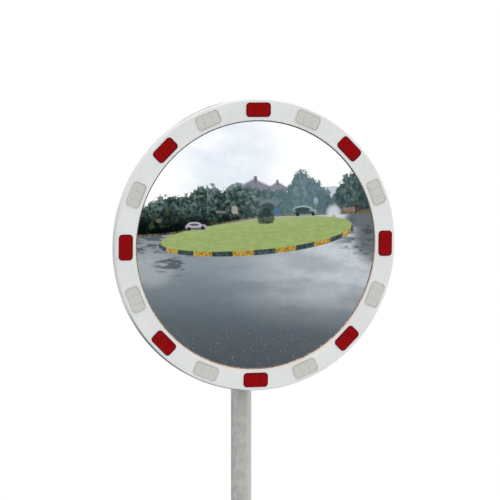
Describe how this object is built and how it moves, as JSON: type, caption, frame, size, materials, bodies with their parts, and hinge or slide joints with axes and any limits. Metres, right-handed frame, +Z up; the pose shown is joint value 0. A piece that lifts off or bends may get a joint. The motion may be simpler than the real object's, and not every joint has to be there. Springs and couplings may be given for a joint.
{
  "type": "convex mirror on post",
  "caption": "Round convex safety mirror in a flat ring with a border of red and white reflectors, on a friction-held tilting and turning clamp that slides on a round post with a bolt-down base plate.",
  "frame": {"origin": "centre of the underside of the base plate, on the post's axis, which is the centre of the four anchor holes", "axes": "+Z up along the post, -Y the way the mirror looks, +X to the right of someone facing the mirror"},
  "size_m": [0.705, 0.2782, 1.6903],
  "materials": {
    "frame_white": "weathered white moulded plastic, slight gloss",
    "mirror_acrylic": "vacuum-metallised acrylic mirror",
    "red_reflector": "red prismatic reflector",
    "white_reflector": "clear prismatic reflector over a pale backing",
    "black_rubber": "EPDM rubber",
    "shell_grey": "fine-grained light grey moulded plastic",
    "zinc_fastener": "zinc-plated steel",
    "galvanised_steel": "hot-dip galvanised steel, weathered",
    "weld_steel": "galvanised weld bead",
    "nylon": "black nylon",
    "cap_plastic": "dark moulded plastic"
  },
  "bodies": {
    "post": {"post_tube": "galvanised_steel", "post_cap": "cap_plastic", "base_plate": "galvanised_steel", "post_weld": "weld_steel", "base_gusset_1": "galvanised_steel", "base_gusset_2": "galvanised_steel", "base_gusset_3": "galvanised_steel", "base_gusset_4": "galvanised_steel"},
    "liner": {"clamp_liner": "black_rubber"},
    "clamp": {"clamp_lug": "galvanised_steel", "friction_discs": "nylon", "pivot_spacer": "zinc_fastener", "clamp_front": "galvanised_steel", "clamp_rear": "galvanised_steel", "clamp_washers": "zinc_fastener", "clamp_spring_washers": "zinc_fastener", "clamp_nuts": "zinc_fastener", "clamp_bolts": "zinc_fastener"},
    "head": {"front_frame": "frame_white", "mirror_dome": "mirror_acrylic", "mirror_gasket": "black_rubber", "rear_shell": "shell_grey", "frame_screws": "zinc_fastener", "stiffener_plate": "galvanised_steel", "tilt_bracket": "galvanised_steel", "bracket_washers": "zinc_fastener", "bracket_bolts": "zinc_fastener", "bracket_nuts": "zinc_fastener", "pivot_washers": "zinc_fastener", "pivot_bolt": "zinc_fastener", "pivot_spring_washer": "zinc_fastener", "pivot_nut": "zinc_fastener", "red_reflector_1": "red_reflector", "red_reflector_2": "red_reflector", "red_reflector_3": "red_reflector", "red_reflector_4": "red_reflector", "red_reflector_5": "red_reflector", "red_reflector_6": "red_reflector", "red_reflector_7": "red_reflector", "red_reflector_8": "red_reflector", "white_reflector_1": "white_reflector", "white_reflector_2": "white_reflector", "white_reflector_3": "white_reflector", "white_reflector_4": "white_reflector", "white_reflector_5": "white_reflector", "white_reflector_6": "white_reflector", "white_reflector_7": "white_reflector", "white_reflector_8": "white_reflector"}
  },
  "joints": [
    {"name": "clamp_height", "type": "slide", "parent": "post", "child": "liner", "axis": [0, 0, 1], "range_m": [-0.85, 0.05]},
    {"name": "clamp_swivel", "type": "hinge", "parent": "liner", "child": "clamp", "pos_m": [0, 0, 1.34], "axis": [0, 0, 1], "continuous": true},
    {"name": "head_tilt", "type": "hinge", "parent": "clamp", "child": "head", "pos_m": [0, -0.051, 1.34], "axis": [1, 0, 0], "range_deg": [-14, 10]}
  ]
}
